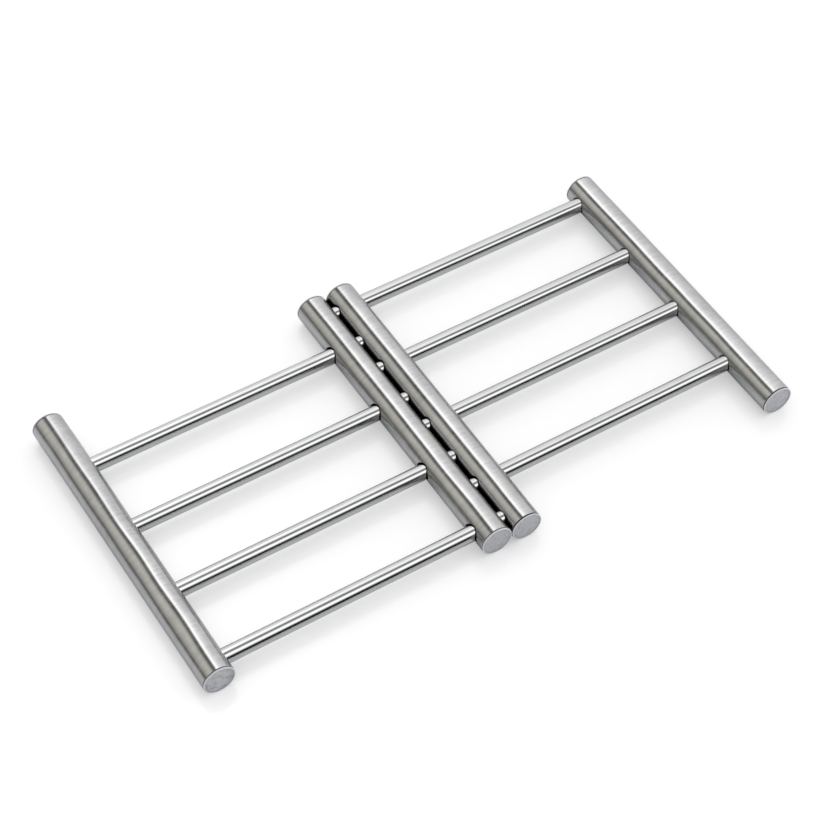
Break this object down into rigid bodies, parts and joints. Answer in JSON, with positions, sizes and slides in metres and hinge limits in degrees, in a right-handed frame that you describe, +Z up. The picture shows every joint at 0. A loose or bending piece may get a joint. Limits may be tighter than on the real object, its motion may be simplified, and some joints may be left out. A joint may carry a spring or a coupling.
{
  "type": "extending trivet",
  "caption": "Extending steel trivet: identical tube ladder frames that slide through each other, with plugged bar ends, to carry a hot pan or dish clear of the table.",
  "frame": {"origin": "on the table, at the centre of the part pulled out to its full length", "axes": "+X along the rods, from the left frame to the right frame; +Y along the bars, from front to back; +Z up"},
  "size_m": [0.381, 0.2, 0.019],
  "materials": {
    "bar_steel": "satin, brushed round the tube",
    "rod_steel": "polished stainless steel",
    "plug_plastic": "frosted grey"
  },
  "bodies": {
    "left_frame": {"left_outer_bar": "bar_steel", "left_inner_bar": "bar_steel", "left_rod_1": "rod_steel", "left_rod_2": "rod_steel", "left_rod_3": "rod_steel", "left_rod_4": "rod_steel", "left_outer_bar_front_plug": "plug_plastic", "left_outer_bar_back_plug": "plug_plastic", "left_inner_bar_front_plug": "plug_plastic", "left_inner_bar_back_plug": "plug_plastic"},
    "right_frame": {"right_outer_bar": "bar_steel", "right_inner_bar": "bar_steel", "right_rod_1": "rod_steel", "right_rod_2": "rod_steel", "right_rod_3": "rod_steel", "right_rod_4": "rod_steel", "right_outer_bar_front_plug": "plug_plastic", "right_outer_bar_back_plug": "plug_plastic", "right_inner_bar_front_plug": "plug_plastic", "right_inner_bar_back_plug": "plug_plastic"}
  },
  "joints": [
    {"name": "extension_slide", "type": "slide", "parent": "left_frame", "child": "right_frame", "axis": [1, 0, 0], "range_m": [-0.1521, 0]}
  ]
}
